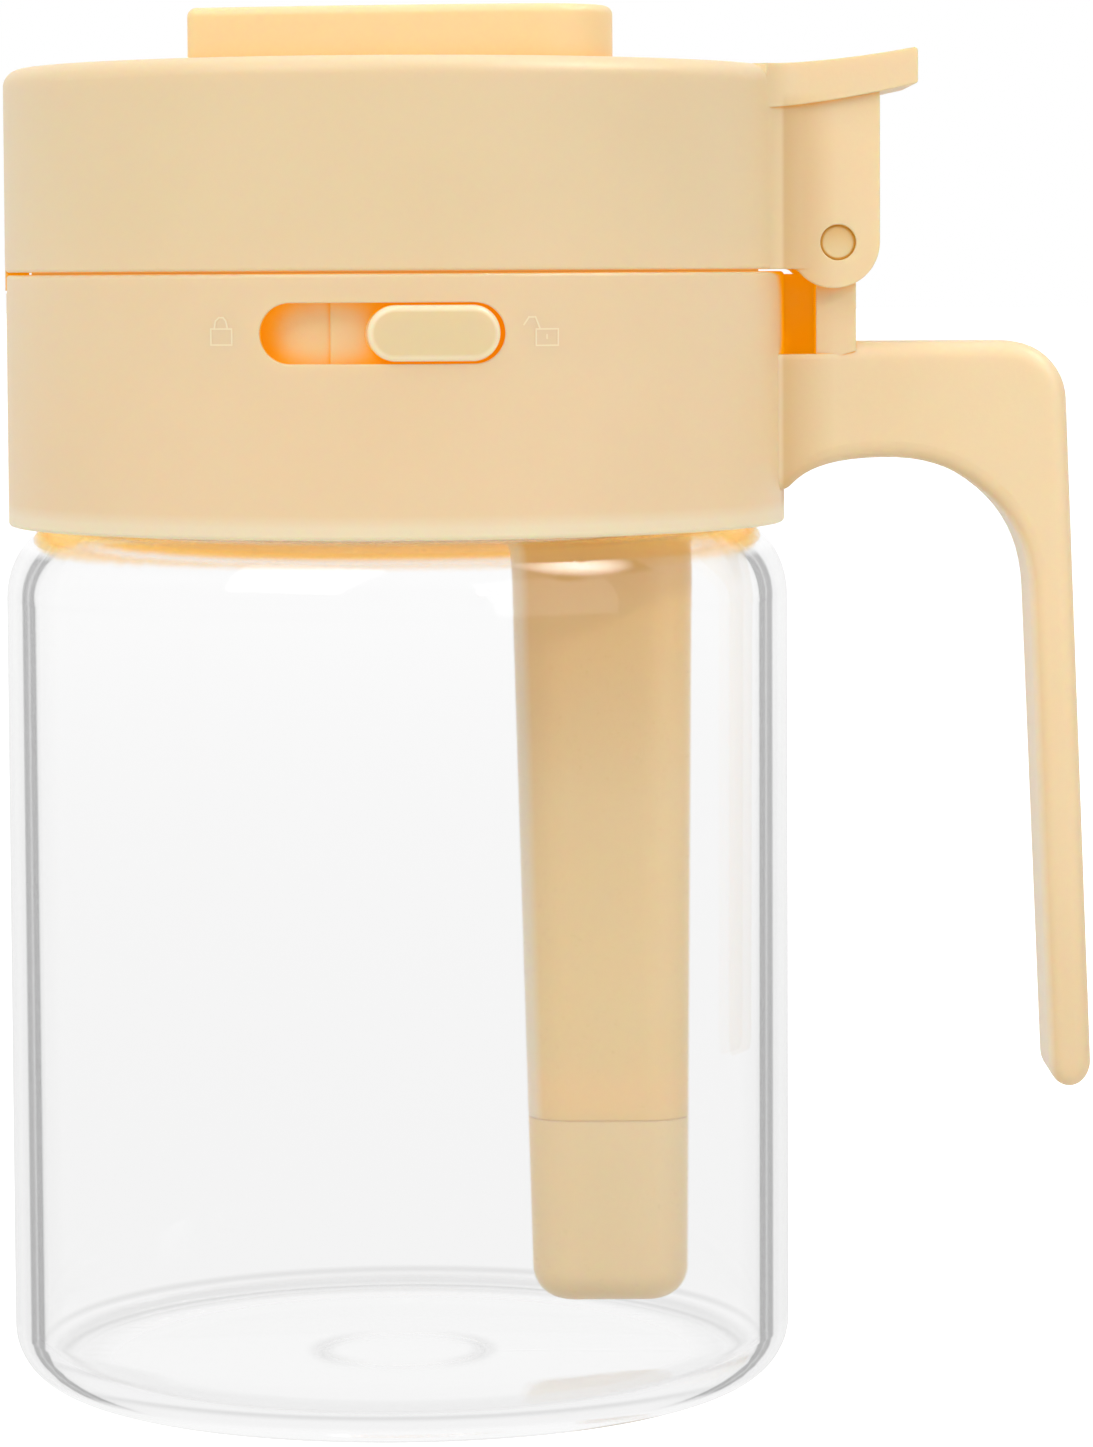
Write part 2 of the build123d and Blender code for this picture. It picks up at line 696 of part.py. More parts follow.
# Lid shell with the cheeks, the thumb lever and the front lip, one moulding
cheek_centre_x = hinge_x - cheek_offset
cheek_root_x = lid_radius - cheek_root_sink
cheek_edge_x = cheek_centre_x + cheek_radius
lever_tip_x = hinge_x + lever_reach
lever_tip_z = lid_top_z + lever_tip_rise
lever_low_z = lever_tip_z - lever_thickness
lever_root_z = lid_top_z - lever_root_drop
lever_start_x = lid_radius - lever_blend_length
lever_mid_x = (cheek_root_x + lever_tip_x) / 2
lip_half_angle = math.degrees(math.asin(lip_half_width / lid_radius))


def flare_plan(half_width, flare, height, end_x):
    """Plan of a rib from the lid's wall to end_x, with a round blend into the wall."""
    centre_x = math.sqrt((lid_radius + flare) ** 2 - (half_width + flare) ** 2)
    turn = math.degrees(math.atan2(half_width + flare, centre_x))
    with BuildSketch(Plane.XY.offset(height)) as plan:
        with BuildLine():
            blend = CenterArc((centre_x, half_width + flare), flare, 180 + turn, 90 - turn)
            Polyline(blend @ 1, (end_x, half_width), (end_x, 0), (lever_start_x, 0),
                     (lever_start_x, (blend @ 0).Y), blend @ 0)
        make_face()
        mirror(about=Plane.XZ)
    return plan.sketch


with BuildPart() as lever:
    with BuildSketch(Plane.XZ) as lever_side:
        with BuildLine():
            upper = ThreePointArc((lever_start_x, lid_top_z - lever_blend_drop),
                                  (lever_mid_x, lid_top_z + lever_mid_rise),
                                  (lever_tip_x, lever_tip_z))
            under = ThreePointArc((lever_tip_x, lever_low_z),
                                  (lever_mid_x, lid_top_z - lever_mid_drop),
                                  (cheek_root_x, lever_root_z))
            Line(upper @ 1, under @ 0)
            Polyline(under @ 1, (lever_start_x, lever_root_z), upper @ 0)
        make_face()
        fillet(lever_side.vertices().group_by(Axis.X)[-1], lever_nose_round)
    extrude(amount=lever_half_width + lever_flare, both=True)
    extrude(flare_plan(lever_half_width, lever_flare, lever_root_z, lever_tip_x),
            amount=lever_tip_z - lever_root_z, mode=Mode.INTERSECT)

with BuildPart() as lid_shell:
    tube_ring(0, lid_radius, lid_bottom_z, lid_top_z)
    fillet(lid_shell.edges().group_by(Axis.Z)[-1], lid_edge_round)
    fillet(lid_shell.edges().group_by(Axis.Z)[0], small_round)
    with BuildSketch(Plane.XZ) as cheek_side:
        with Locations((cheek_centre_x, hinge_z)):
            Circle(cheek_radius)
        with BuildLine():
            Polyline((cheek_root_x, lid_bottom_z), (cheek_centre_x, lid_bottom_z),
                     (cheek_centre_x, hinge_z), (cheek_edge_x, hinge_z),
                     (cheek_edge_x, lever_low_z), (cheek_root_x, lever_low_z), close=True)
        make_face()
        cheek_corner = cheek_side.vertices().sort_by_distance((lid_radius, lid_bottom_z))[0]
        fillet(cheek_corner, cheek_fillet)
    extrude(amount=cheek_outer_y, both=True)
    extrude(flare_plan(cheek_outer_y, cheek_flare, lid_bottom_z, cheek_centre_x),
            amount=lever_low_z - lid_bottom_z)
    add(lever.part)
    tube_ring(0, lid_radius - shell_wall, lid_bottom_z, lid_under_z, mode=Mode.SUBTRACT)
    with BuildSketch(Plane.XZ):
        with Locations((lid_radius, lid_bottom_z - cheek_radius)):
            Rectangle(lever_tip_x - lid_radius, lever_root_z - lid_bottom_z + cheek_radius,
                      align=(Align.MIN, Align.MIN))
    extrude(amount=cheek_inner_y, both=True, mode=Mode.SUBTRACT)
    with BuildSketch(Plane.XZ):
        with Locations((hinge_x, hinge_z)):
            Circle(pin_radius + pin_fit)
    extrude(amount=cheek_outer_y + cut_margin, both=True, mode=Mode.SUBTRACT)
    sector(lid_radius - lip_thickness, lid_radius, -90 - lip_half_angle, -90 + lip_half_angle,
           lid_bottom_z - lip_drop, lid_bottom_z + shell_wall)
    with BuildSketch(Plane.XY.offset(lid_under_z)):
        with GridLocations(block_peg_spacing, 0, 2, 1):
            Circle(block_peg_radius + slip_fit)
    extrude(amount=shell_wall, mode=Mode.SUBTRACT)
lid_shell.part.label = "lid_shell"

with BuildPart() as hinge_pin:
    with BuildSketch(Plane.XZ):
        with Locations((hinge_x, hinge_z)):
            Circle(pin_radius)
    extrude(amount=cheek_outer_y - pin_sink, both=True)
    chamfer(hinge_pin.edges().filter_by(GeomType.CIRCLE), small_round / 2)
hinge_pin.part.label = "hinge_pin"


# Raised block on the lid
def block_outline(inset):
    """The block's plan, wider towards the hinge, drawn in by an inset."""
    with BuildSketch(Plane.XY.offset(lid_top_z)) as outline:
        with BuildLine():
            front = Line((block_front_x, -block_front_half_width),
                         (block_front_x, block_front_half_width))
            side = ThreePointArc(front @ 1, (block_bow_x, block_bow_y),
                                 (block_rear_x, block_rear_half_width))
            rear = Line(side @ 1, (block_rear_x, -block_rear_half_width))
            ThreePointArc(rear @ 1, (block_bow_x, -block_bow_y), front @ 0)
        make_face()
        fillet(outline.vertices().group_by(Axis.X)[-1], block_rear_round)
        fillet(outline.vertices().group_by(Axis.X)[0], block_front_round)
        if inset:
            offset(amount=-inset, mode=Mode.REPLACE)
    return outline.sketch


with BuildPart() as top_block:
    extrude(block_outline(0), amount=block_height)
    fillet(top_block.faces().sort_by(Axis.Z)[-1].edges(), edge_round)
    extrude(block_outline(block_wall), amount=block_height - block_wall, mode=Mode.SUBTRACT)
    with BuildSketch(Plane.XY.offset(lid_under_z)):
        with GridLocations(block_peg_spacing, 0, 2, 1):
            Circle(block_peg_radius)
    extrude(amount=shell_wall + block_height - block_wall)
top_block.part.label = "top_block"


os.makedirs("parts", exist_ok=True)
pieces = (glass_jar, mouth_gasket, thread_ring, collar, inner_plate, sifter_disc,
          storage_tube, tube_end_cup, spoon, lid_shell, lid_liner, lid_seal, latch_hook,
          hinge_pin, lock_plate, lock_knob, top_block)
for piece in pieces:
    export_step(piece.part, f"parts/{piece.part.label}.step")
    print(piece.part.label, round(piece.part.volume, 1), piece.part.is_valid)
print("lock travel, degrees", round(lock_travel, 3))
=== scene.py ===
import math

import bmesh
import bpy
from mathutils import Matrix, Vector

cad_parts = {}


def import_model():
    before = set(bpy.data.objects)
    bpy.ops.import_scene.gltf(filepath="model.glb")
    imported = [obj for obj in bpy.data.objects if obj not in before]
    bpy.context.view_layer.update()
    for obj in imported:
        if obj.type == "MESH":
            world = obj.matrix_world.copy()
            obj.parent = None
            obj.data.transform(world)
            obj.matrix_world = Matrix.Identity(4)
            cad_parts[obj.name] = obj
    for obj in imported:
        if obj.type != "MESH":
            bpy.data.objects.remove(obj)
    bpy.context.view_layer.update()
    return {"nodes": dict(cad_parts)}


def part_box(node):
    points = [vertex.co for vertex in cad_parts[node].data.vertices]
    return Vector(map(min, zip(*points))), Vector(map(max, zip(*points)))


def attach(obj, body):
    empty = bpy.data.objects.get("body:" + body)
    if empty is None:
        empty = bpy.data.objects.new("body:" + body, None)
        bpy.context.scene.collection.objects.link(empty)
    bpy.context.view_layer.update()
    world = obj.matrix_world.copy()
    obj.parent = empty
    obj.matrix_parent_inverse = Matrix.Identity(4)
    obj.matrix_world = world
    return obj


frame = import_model()
nodes = frame["nodes"]

MM = 0.001
BLACK = (0, 0, 0, 1)
WHITE = (1, 1, 1, 1)

# The photograph's frame, in pixels
PHOTO_HEIGHT = 1447
FOCAL_PIXELS = 5359.1
CENTRE_ROW = 645.74

# Camera: sensor in millimetres, place and clipping in metres, angles in degrees
SENSOR = 36.0
CAMERA_PLACE = (15.25 * MM, -550.0 * MM, 113.82 * MM)
CAMERA_PITCH = -4.0
CAMERA_ROLL = -0.29
CLIP_START = 0.01
CLIP_END = 50.0

# Strengths of the surroundings, where 1 shows as white
BACKDROP_LEVEL = 1.0
AMBIENT_LEVEL = 0.54
FLOOR_ALBEDO = 0.82
FLOOR_GLOW = 0.75

# What glass and gloss see of the floor: its strength near the jar and far from it
FLOOR_NEAR = 0.925
FLOOR_FAR = 0.985

# Metres from the middle of the floor: where that strength changes, and the floor's edge
FLOOR_SPAN = (0.05, 1.2)
FLOOR_REACH = 15.0


def middle(name):
    """The middle of a node's box at rest."""
    low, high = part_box(name)
    return (Vector(low) + Vector(high)) / 2


def half_height(name):
    """Half the height of a node's box at rest."""
    low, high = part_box(name)
    return (high[2] - low[2]) / 2


# Sizes and places of the solids at rest
JAR_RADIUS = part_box("glass_jar")[1][0]
WALL_RADIUS = -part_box("collar")[0][0]
HANDLE_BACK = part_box("collar")[1][0]
TUBE_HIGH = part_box("storage_tube")[1][2]
LID_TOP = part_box("top_block")[0][2]
HINGE_PLACE = middle("hinge_pin")
KNOB_HEIGHT = middle("lock_knob").z
KNOB_END = half_height("lock_knob")
COLLAR_LOW = 88.2 * MM


def srgb(red, green, blue):
    """Scene-linear colour of a display colour given in 0 to 255."""
    def linear(value):
        value /= 255
        return value / 12.92 if value <= 0.04045 else ((value + 0.055) / 1.055) ** 2.4
    return linear(red), linear(green), linear(blue), 1.0


def even_grey(level):
    """A grey of a scene-linear level."""
    return level, level, level, 1.0


def add_object(name, data):
    """A new object in the scene."""
    item = bpy.data.objects.new(name, data)
    bpy.context.scene.collection.objects.link(item)
    return item


def turn_to(place, aim, axis):
    """The rotation that turns one of an object's axes from its place to a point."""
    return (Vector(aim) - Vector(place)).to_track_quat(axis, "Y").to_euler()


# Camera
camera_data = bpy.data.cameras.new("camera")
camera_data.sensor_fit = "AUTO"
camera_data.sensor_width = SENSOR
camera_data.lens = FOCAL_PIXELS / PHOTO_HEIGHT * SENSOR
camera_data.shift_y = -(PHOTO_HEIGHT / 2 - CENTRE_ROW) / PHOTO_HEIGHT
camera_data.clip_start = CLIP_START
camera_data.clip_end = CLIP_END
camera = add_object("camera", camera_data)
camera.matrix_world = (Matrix.Translation(CAMERA_PLACE)
                       @ Matrix.Rotation(math.radians(90 + CAMERA_PITCH), 4, "X")
                       @ Matrix.Rotation(math.radians(CAMERA_ROLL), 4, "Z"))
bpy.context.scene.camera = camera


# Node helpers
def new_material(name):
    """A material with nothing but its output node."""
    material = bpy.data.materials.new(name)
    material.use_nodes = True
    tree = material.node_tree
    tree.nodes.clear()
    output = tree.nodes.new("ShaderNodeOutputMaterial")
    return material, tree, output


def feed(tree, socket, value):
    """Links a socket to another socket, or sets it to a constant."""
    if isinstance(value, bpy.types.NodeSocket):
        tree.links.new(value, socket)
    else:
        socket.default_value = value


def combine(tree, operation, first, second=0.0):
    """A Math node's result; a value that it doesn't need stays 0."""
    node = tree.nodes.new("ShaderNodeMath")
    node.operation = operation
    feed(tree, node.inputs[0], first)
    feed(tree, node.inputs[1], second)
    return node.outputs[0]


def product(tree, first, second):
    """Two values multiplied; each is a socket or a constant."""
    return combine(tree, "MULTIPLY", first, second)


def span(tree, value, low, high, at_low=0.0, at_high=1.0):
    """A value mapped from one range to another, clamped."""
    mapping = tree.nodes.new("ShaderNodeMapRange")
    mapping.inputs["From Min"].default_value = low
    mapping.inputs["From Max"].default_value = high
    mapping.inputs["To Min"].default_value = at_low
    mapping.inputs["To Max"].default_value = at_high
    tree.links.new(value, mapping.inputs["Value"])
    return mapping.outputs["Result"]


def fall(tree, value, low, high):
    """1 below the first value, 0 above the second."""
    return span(tree, value, low, high, 1.0, 0.0)


def band(tree, value, low, high, fade):
    """1 between two values and 0 beyond them, with a soft change on either side."""
    return product(tree, span(tree, value, low - fade, low), fall(tree, value, high, high + fade))


def mixed(tree, factor, first, second):
    """Two colours mixed by a factor; each is a socket or a constant."""
    mix = tree.nodes.new("ShaderNodeMix")
    mix.data_type = "RGBA"
    tree.links.new(factor, mix.inputs[0])
    feed(tree, mix.inputs[6], first)
    feed(tree, mix.inputs[7], second)
    return mix.outputs[2]


def mixed_shaders(tree, factor, first, second):
    """Two shaders mixed by a factor."""
    mix = tree.nodes.new("ShaderNodeMixShader")
    for socket, source in zip(mix.inputs, (factor, first, second)):
        tree.links.new(source, socket)
    return mix.outputs[0]


def emission(tree, strength):
    """White light of a strength that varies over the surface."""
    glow = tree.nodes.new("ShaderNodeEmission")
    tree.links.new(strength, glow.inputs["Strength"])
    return glow.outputs[0]


def any_ray(tree, *kinds):
    """1 for rays of the kinds named, otherwise 0."""
    path = tree.nodes.new("ShaderNodeLightPath")
    seen = path.outputs[kinds[0]]
    for kind in kinds[1:]:
        seen = combine(tree, "MAXIMUM", seen, path.outputs[kind])
    return seen


def own_place(tree):
    """The object's own coordinates."""
    return tree.nodes.new("ShaderNodeTexCoord").outputs["Object"]


def split_axis(tree, vector, axis):
    """One of a vector's three values."""
    split = tree.nodes.new("ShaderNodeSeparateXYZ")
    tree.links.new(vector, split.inputs[0])
    return split.outputs[axis]


def place_axis(tree, axis):
    """One of the object's own coordinates."""
    return split_axis(tree, own_place(tree), axis)


def normal_axis(tree, axis):
    """One direction of the surface's normal."""
    shape = tree.nodes.new("ShaderNodeNewGeometry")
    return split_axis(tree, shape.outputs["Normal"], axis)


def vector_step(tree, operation, vector, constant):
    """A Vector Math node's result for a vector and a constant one."""
    step = tree.nodes.new("ShaderNodeVectorMath")
    step.operation = operation
    tree.links.new(vector, step.inputs[0])
    step.inputs[1].default_value = constant
    return step.outputs[0]


def length(tree, vector):
    """The length of a vector."""
    measure = tree.nodes.new("ShaderNodeVectorMath")
    measure.operation = "LENGTH"
    tree.links.new(vector, measure.inputs[0])
    return measure.outputs["Value"]


def jar_reach(tree):
    """Distance from the jar's axis, in the object's own coordinates."""
    return length(tree, vector_step(tree, "MULTIPLY", own_place(tree), (1, 1, 0)))


def noise(tree, scale, detail, roughness):
    """Noise over the object's own coordinates."""
    texture = tree.nodes.new("ShaderNodeTexNoise")
    texture.inputs["Scale"].default_value = scale
    texture.inputs["Detail"].default_value = detail
    texture.inputs["Roughness"].default_value = roughness
    tree.links.new(own_place(tree), texture.inputs["Vector"])
    return texture.outputs["Fac"]


def softened(tree, radius):
    """The normal of a surface whose edges are rounded by a radius."""
    edge = tree.nodes.new("ShaderNodeBevel")
    edge.samples = EDGE_SAMPLES
    edge.inputs["Radius"].default_value = radius
    return edge.outputs[0]


def bump(tree, height, distance, normal):
    """A normal roughened by a height over a distance in metres."""
    relief = tree.nodes.new("ShaderNodeBump")
    relief.inputs["Strength"].default_value = 1.0
    relief.inputs["Distance"].default_value = distance
    tree.links.new(height, relief.inputs["Height"])
    tree.links.new(normal, relief.inputs["Normal"])
    return relief.outputs["Normal"]


# Plastic. Noises are a scale, a detail and a roughness
EDGE_SAMPLES = 4
EDGE_SOFTNESS = 0.3 * MM
PLASTIC_IOR = 1.49
OPEN_SPECULAR = 0.5
SCATTER_RADIUS = (1.0, 0.45, 0.16)
SCATTER_SCALE = 2.4 * MM
CLOUDS = (42.0, 3.0, 0.5)
CLOUD_RANGE = (0.3, 0.7)
GRAINS = (2600.0, 2.0, 0.6)
GRAIN_RANGE = (0.25, 0.75)
GRAIN_DEPTH = 0.012 * MM
GLOSS_SPREAD = 0.04
CREVICE_SAMPLES = 12
CREVICE_REACH = 6.0 * MM
CREVICE_RANGE = (0.28, 0.66)

# Colours of the painted glow in the plastic's gaps, standing in for light through the plastic,
# scene-linear
ORANGE_GLOW = (0.92, 0.56, 0.0, 1.0)
GOLD_GLOW = (0.9, 0.62, 0.2, 1.0)
TUBE_GLOW = (0.9, 0.62, 0.34, 1.0)
CUP_GLOW = (0.9, 0.64, 0.36, 1.0)

# Colours of the painted shade in the gaps
GAP_SHADE_ORANGE = srgb(232, 156, 16)
GAP_SHADE_GOLD = srgb(246, 206, 122)


def crevices(tree, low, high):
    """1 deep in a gap, 0 where the surface is open, from occlusion over a short reach: the mask of
    the painted gap shade and glow.
    """
    shut = tree.nodes.new("ShaderNodeAmbientOcclusion")
    shut.samples = CREVICE_SAMPLES
    shut.inputs["Distance"].default_value = CREVICE_REACH
    return fall(tree, shut.outputs["AO"], low, high)


def plastic(name, colour, shade, roughness, deep=None, glow=0.0, light=ORANGE_GLOW,
            crevice=CREVICE_RANGE, grain=1.0, subsurface=0.6, soft=EDGE_SOFTNESS,
            paint=None, gap_paint=None):
    """Satin moulded plastic that lets some light through, with painted orange shade and a painted
    glow in its gaps.
    """
    material, tree, output = new_material(name)
    shader = tree.nodes.new("ShaderNodeBsdfPrincipled")
    shader.inputs["IOR"].default_value = PLASTIC_IOR
    shader.inputs["Subsurface Weight"].default_value = subsurface
    shader.inputs["Subsurface Radius"].default_value = SCATTER_RADIUS
    shader.inputs["Subsurface Scale"].default_value = SCATTER_SCALE
    body = mixed(tree, span(tree, noise(tree, *CLOUDS), *CLOUD_RANGE), colour, shade)
    if paint:
        body = paint(tree, body)
    # Painted orange shade and painted glow in the gaps, by occlusion
    if deep:
        gap = crevices(tree, *crevice)
        if gap_paint:
            gap, deep, light = gap_paint(tree, gap, deep, light)
        body = mixed(tree, gap, body, deep)
        feed(tree, shader.inputs["Emission Color"], light)
        feed(tree, shader.inputs["Emission Strength"], span(tree, gap, 0.0, 1.0, 0.0, glow))
        feed(tree, shader.inputs["Specular IOR Level"], span(tree, gap, 0.0, 1.0, OPEN_SPECULAR, 0.0))
    tree.links.new(body, shader.inputs["Base Color"])
    grains = noise(tree, *GRAINS)
    gloss = span(tree, grains, *GRAIN_RANGE, roughness - GLOSS_SPREAD, roughness + GLOSS_SPREAD)
    tree.links.new(gloss, shader.inputs["Roughness"])
    if soft:
        normal = softened(tree, soft)
        if grain:
            normal = bump(tree, grains, GRAIN_DEPTH * grain, normal)
        tree.links.new(normal, shader.inputs["Normal"])
    tree.links.new(shader.outputs[0], output.inputs["Surface"])
    return material


# Shell: the collar and the lid, with painted shade, painted light and a painted highlight. Each range
# is where a change begins and ends
RIM_HIGHLIGHT = srgb(236, 222, 188)
RIM_RANGE = (COLLAR_LOW + 1.2 * MM, COLLAR_LOW + 2.4 * MM)
RIM_WALL = (JAR_RADIUS, JAR_RADIUS + 0.6 * MM)
ROOT_SHADE = srgb(218, 184, 132)
ROOT_START = (JAR_RADIUS - 1.0 * MM, JAR_RADIUS - 0.6 * MM)
ROOT_END = (JAR_RADIUS - 0.2 * MM, JAR_RADIUS + 4.6 * MM)
ROOT_TOP = (LID_TOP - 2.6 * MM, LID_TOP - 0.6 * MM)
GRIP_PAINTED_LIGHT = srgb(246, 232, 206)
GRIP_START = (HANDLE_BACK - 16.8 * MM, HANDLE_BACK - 12.8 * MM)
GRIP_SLOPE = (-0.9, -0.6)
HINGE_CALM = 0.7
HINGE_RANGE = (2.4 * MM, 3.4 * MM)
UNDERSIDE_RANGE = (COLLAR_LOW - 0.2 * MM, COLLAR_LOW + 7.8 * MM)


def shell_paint(tree, body):
    """Painted shade at the roots of cheek and handle, painted light on the inner face of the grip and
    a painted highlight on the lower rim.
    """
    along = place_axis(tree, "X")
    height = place_axis(tree, "Z")
    root = product(tree, span(tree, along, *ROOT_START), fall(tree, along, *ROOT_END))
    body = mixed(tree, product(tree, root, fall(tree, height, *ROOT_TOP)), body, ROOT_SHADE)
    inner_face = fall(tree, normal_axis(tree, "X"), *GRIP_SLOPE)
    grip = span(tree, along, *GRIP_START)
    body = mixed(tree, product(tree, inner_face, grip), body, GRIP_PAINTED_LIGHT)
    rim = fall(tree, height, *RIM_RANGE)
    wall = fall(tree, jar_reach(tree), *RIM_WALL)
    return mixed(tree, product(tree, rim, wall), body, RIM_HIGHLIGHT)


def shell_gaps(tree, gap, deep, light):
    """Less painted gap shade and glow round the hinge pin, and golden painted shade and glow at the
    collar's underside.
    """
    offset = vector_step(tree, "SUBTRACT", own_place(tree), HINGE_PLACE)
    reach = length(tree, vector_step(tree, "MULTIPLY", offset, (1, 0, 1)))
    gap = product(tree, gap, span(tree, reach, *HINGE_RANGE, HINGE_CALM, 1.0))
    upper = span(tree, place_axis(tree, "Z"), *UNDERSIDE_RANGE)
    return gap, mixed(tree, upper, GAP_SHADE_GOLD, deep), mixed(tree, upper, GOLD_GLOW, light)


shell = plastic("shell_plastic", srgb(233, 210, 168), srgb(231, 207, 164), roughness=0.42,
                deep=GAP_SHADE_ORANGE, glow=0.24, crevice=(0.34, 0.66), paint=shell_paint,
                gap_paint=shell_gaps)


# The raised block on the lid, with painted shade and glow in its gaps
block = plastic("block_plastic", srgb(250, 222, 170), srgb(248, 219, 166), roughness=0.42,
                deep=GAP_SHADE_ORANGE, glow=0.24)


# Knob: its outline has round ends and a straight stretch, whose middle and half length are
# measured along the collar's wall
KNOB_ALONG = 4.749 * MM
KNOB_STRAIGHT = 3.675 * MM
# Painted highlight on the knob's rounded edge, and where it fades in
KNOB_RIM_HIGHLIGHT = srgb(246, 230, 194)
KNOB_HIGHLIGHT_RANGE = (KNOB_END - 0.7 * MM, KNOB_END - 0.4 * MM)


def knob_paint(tree, body):
    """A painted highlight makes the knob's rounded edge paler than its face."""
    front = product(tree, place_axis(tree, "Y"), -1.0)
    turn = combine(tree, "ARCTAN2", place_axis(tree, "X"), front)
    along = combine(tree, "SUBTRACT", product(tree, turn, WALL_RADIUS), KNOB_ALONG)
    beyond = combine(tree, "SUBTRACT", combine(tree, "ABSOLUTE", along), KNOB_STRAIGHT)
    both = tree.nodes.new("ShaderNodeCombineXYZ")
    tree.links.new(combine(tree, "MAXIMUM", beyond), both.inputs[0])
    tree.links.new(combine(tree, "SUBTRACT", place_axis(tree, "Z"), KNOB_HEIGHT), both.inputs[1])
    rim = span(tree, length(tree, both.outputs[0]), *KNOB_HIGHLIGHT_RANGE)
    return mixed(tree, rim, body, KNOB_RIM_HIGHLIGHT)


knob = plastic("knob_plastic", srgb(231, 211, 164), srgb(230, 209, 162), roughness=0.12,
               deep=GAP_SHADE_ORANGE, glow=0.24, grain=0.0, paint=knob_paint)


# Mouldings inside the collar and the lid, with painted shade and glow in their gaps
plate = plastic("plate_plastic", srgb(246, 217, 166), srgb(244, 213, 160), roughness=0.4,
                deep=srgb(242, 166, 50), glow=0.2, crevice=(0.34, 0.62))
inner = plastic("inner_plastic", srgb(246, 212, 150), srgb(243, 207, 144), roughness=0.4,
                deep=GAP_SHADE_GOLD, glow=0.2, light=GOLD_GLOW)
ring = plastic("ring_plastic", srgb(248, 214, 134), srgb(246, 210, 128), roughness=0.4,
               deep=GAP_SHADE_GOLD, glow=0.3, light=GOLD_GLOW, crevice=(0.5, 1.0))


# Storage tube and the cup at its end, with painted shade and glow in their gaps
# Painted shade towards the tube's top, and painted light on its left flank
TUBE_TOP_SHADE = srgb(230, 186, 110)
TUBE_TOP_RANGE = (TUBE_HIGH - 46.5 * MM, TUBE_HIGH - 6.5 * MM)
TUBE_FLANK_LIGHT = srgb(240, 222, 194)
FLANK_SLOPE = (-0.84, -0.66)
TUBE_CREVICE = (0.0, 0.2)


def tube_paint(tree, body):
    """Painted shade makes the tube deeper in colour towards its top, and painted light makes it paler
    on its left flank.
    """
    body = mixed(tree, span(tree, place_axis(tree, "Z"), *TUBE_TOP_RANGE), body, TUBE_TOP_SHADE)
    flank = fall(tree, normal_axis(tree, "X"), *FLANK_SLOPE)
    return mixed(tree, flank, body, TUBE_FLANK_LIGHT)


tube = plastic("tube_plastic", srgb(241, 210, 158), srgb(239, 207, 154), roughness=0.3,
               deep=srgb(216, 180, 122), glow=0.2, light=TUBE_GLOW, crevice=TUBE_CREVICE,
               grain=0.4, paint=tube_paint)
cup = plastic("cup_plastic", srgb(243, 215, 171), srgb(241, 212, 167), roughness=0.3,
              deep=srgb(216, 180, 130), glow=0.2, light=CUP_GLOW, crevice=TUBE_CREVICE, grain=0.4)


# Hinge pin, with painted shade towards the top of its end
PIN_TOP_SHADE = srgb(224, 182, 112)
PIN_RANGE = (HINGE_PLACE.z - 1.35 * MM, HINGE_PLACE.z + 2.05 * MM)


def pin_paint(tree, body):
    """Painted shade makes the pin's end deeper in colour towards its top, as if dished."""
    return mixed(tree, span(tree, place_axis(tree, "Z"), *PIN_RANGE), body, PIN_TOP_SHADE)


pin = plastic("pin_plastic", srgb(229, 211, 166), srgb(227, 208, 162), roughness=0.4,
              deep=srgb(214, 178, 112), glow=0.05, paint=pin_paint)


# Seals, spoon and lock marks
seal = plastic("seal_silicone", srgb(240, 236, 228), srgb(236, 232, 224), roughness=0.5,
               subsurface=0.2)
spoon = plastic("spoon_plastic", srgb(241, 226, 196), srgb(238, 222, 190), roughness=0.35)
mark = plastic("mark_plastic", srgb(243, 229, 192), srgb(242, 227, 189), roughness=0.35,
               grain=0.0, subsurface=0.0, soft=0.0)


# Glass. Each slope of the outer wall, from facing to edge-on, with the light it lets through: painted
# grey bands that stand in for dark surroundings refracted in the steep sides
GLASS_SLOPES = ((0.0, 0.975), (0.52, 0.97), (0.60, 0.93), (0.622, 0.86), (0.632, 0.42),
                (0.662, 0.40), (0.674, 0.60), (0.686, 0.42), (0.712, 0.35), (0.722, 0.50),
                (0.731, 0.86), (0.80, 0.92), (0.90, 0.84), (1.0, 0.45))
GLASS_IOR = 1.5
GLASS_SOFTNESS = 0.6 * MM
CLEAR_LEVEL = 0.985

# Radii past which the wall's outside lies, and the ray depth past which rays go straight on
OUTER_WALL = (JAR_RADIUS - 1.8 * MM, JAR_RADIUS - 1.2 * MM)
GLASS_DEPTH = 4.0

# Painted grey in the glass of the floor, standing in for light bent by the thick glass: its inner
# corner, the round mould mark and the foot
HEEL_START = (JAR_RADIUS - 10.0 * MM, JAR_RADIUS - 7.5 * MM)
CORNER_GREY = 0.74
CORNER_BAND = (2.85 * MM, 3.1 * MM, 0.5 * MM)
MOULD_GREY = 0.76
MOULD_RING = (8.2 * MM, 8.8 * MM, 1.4 * MM)
MOULD_TOP = (2.9 * MM, 3.3 * MM)
CURL_SIDES = (3.0 * MM, 8.0 * MM)
CURL_LEAST = 0.1
FOOT_GREY = 0.66
FOOT_BAND = (0.3 * MM, 0.45 * MM, 0.25 * MM)


